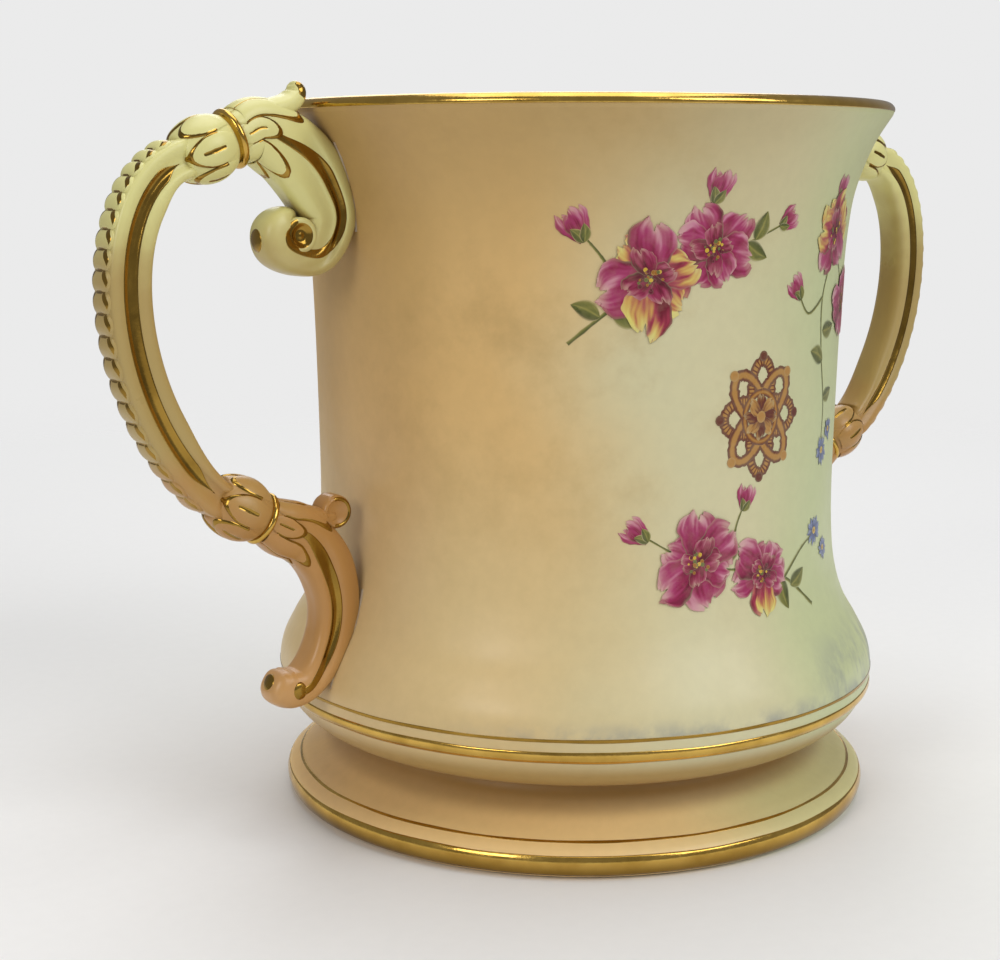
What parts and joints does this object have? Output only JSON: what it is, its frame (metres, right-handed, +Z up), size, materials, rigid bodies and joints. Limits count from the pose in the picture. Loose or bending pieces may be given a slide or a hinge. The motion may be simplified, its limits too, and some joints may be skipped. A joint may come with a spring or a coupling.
{
  "type": "loving cup",
  "caption": "Waisted porcelain drinking cup on a spreading foot, with a pair of opposed scroll handles and burnished gilt bands; stands on its foot ring.",
  "frame": {"origin": "centre of the foot ring on the table", "axes": "+Z up the cup; X through both handles; -Y is the painted front"},
  "size_m": [0.224, 0.1342, 0.1533],
  "materials": {
    "blush_ivory_glaze": "satin ivory glaze shaded with peach",
    "ivory_handle_glaze": "satin pale yellow-ivory glaze",
    "apricot_handle_glaze": "satin apricot glaze",
    "burnished_gilding": "burnished gilding, rubbed",
    "slip": "fired slip"
  },
  "bodies": {
    "root": {"cup_body": "blush_ivory_glaze", "foot": "blush_ivory_glaze", "foot_lute": "slip", "rim_gilding": "burnished_gilding", "shoulder_line_gilding": "burnished_gilding", "shoulder_band_gilding": "burnished_gilding", "foot_line_gilding": "burnished_gilding", "foot_edge_gilding": "burnished_gilding", "left_upper_scroll": "ivory_handle_glaze", "left_upper_lute": "slip", "left_rim_leaf": "ivory_handle_glaze", "left_upper_scroll_rib": "burnished_gilding", "left_upper_collar": "burnished_gilding", "left_upper_calyx": "ivory_handle_glaze", "left_bow": "ivory_handle_glaze", "left_husk_band": "ivory_handle_glaze", "left_bow_ribs": "burnished_gilding", "left_lower_calyx": "apricot_handle_glaze", "left_lower_collar": "burnished_gilding", "left_lower_scroll": "apricot_handle_glaze", "left_lower_lute": "slip", "left_lower_scroll_rib": "burnished_gilding", "left_lower_leaf": "apricot_handle_glaze", "right_upper_scroll": "ivory_handle_glaze", "right_upper_lute": "slip", "right_rim_leaf": "ivory_handle_glaze", "right_upper_scroll_rib": "burnished_gilding", "right_upper_collar": "burnished_gilding", "right_upper_calyx": "ivory_handle_glaze", "right_bow": "ivory_handle_glaze", "right_husk_band": "ivory_handle_glaze", "right_bow_ribs": "burnished_gilding", "right_lower_calyx": "apricot_handle_glaze", "right_lower_collar": "burnished_gilding", "right_lower_scroll": "apricot_handle_glaze", "right_lower_lute": "slip", "right_lower_scroll_rib": "burnished_gilding", "right_lower_leaf": "apricot_handle_glaze"}
  },
  "joints": []
}
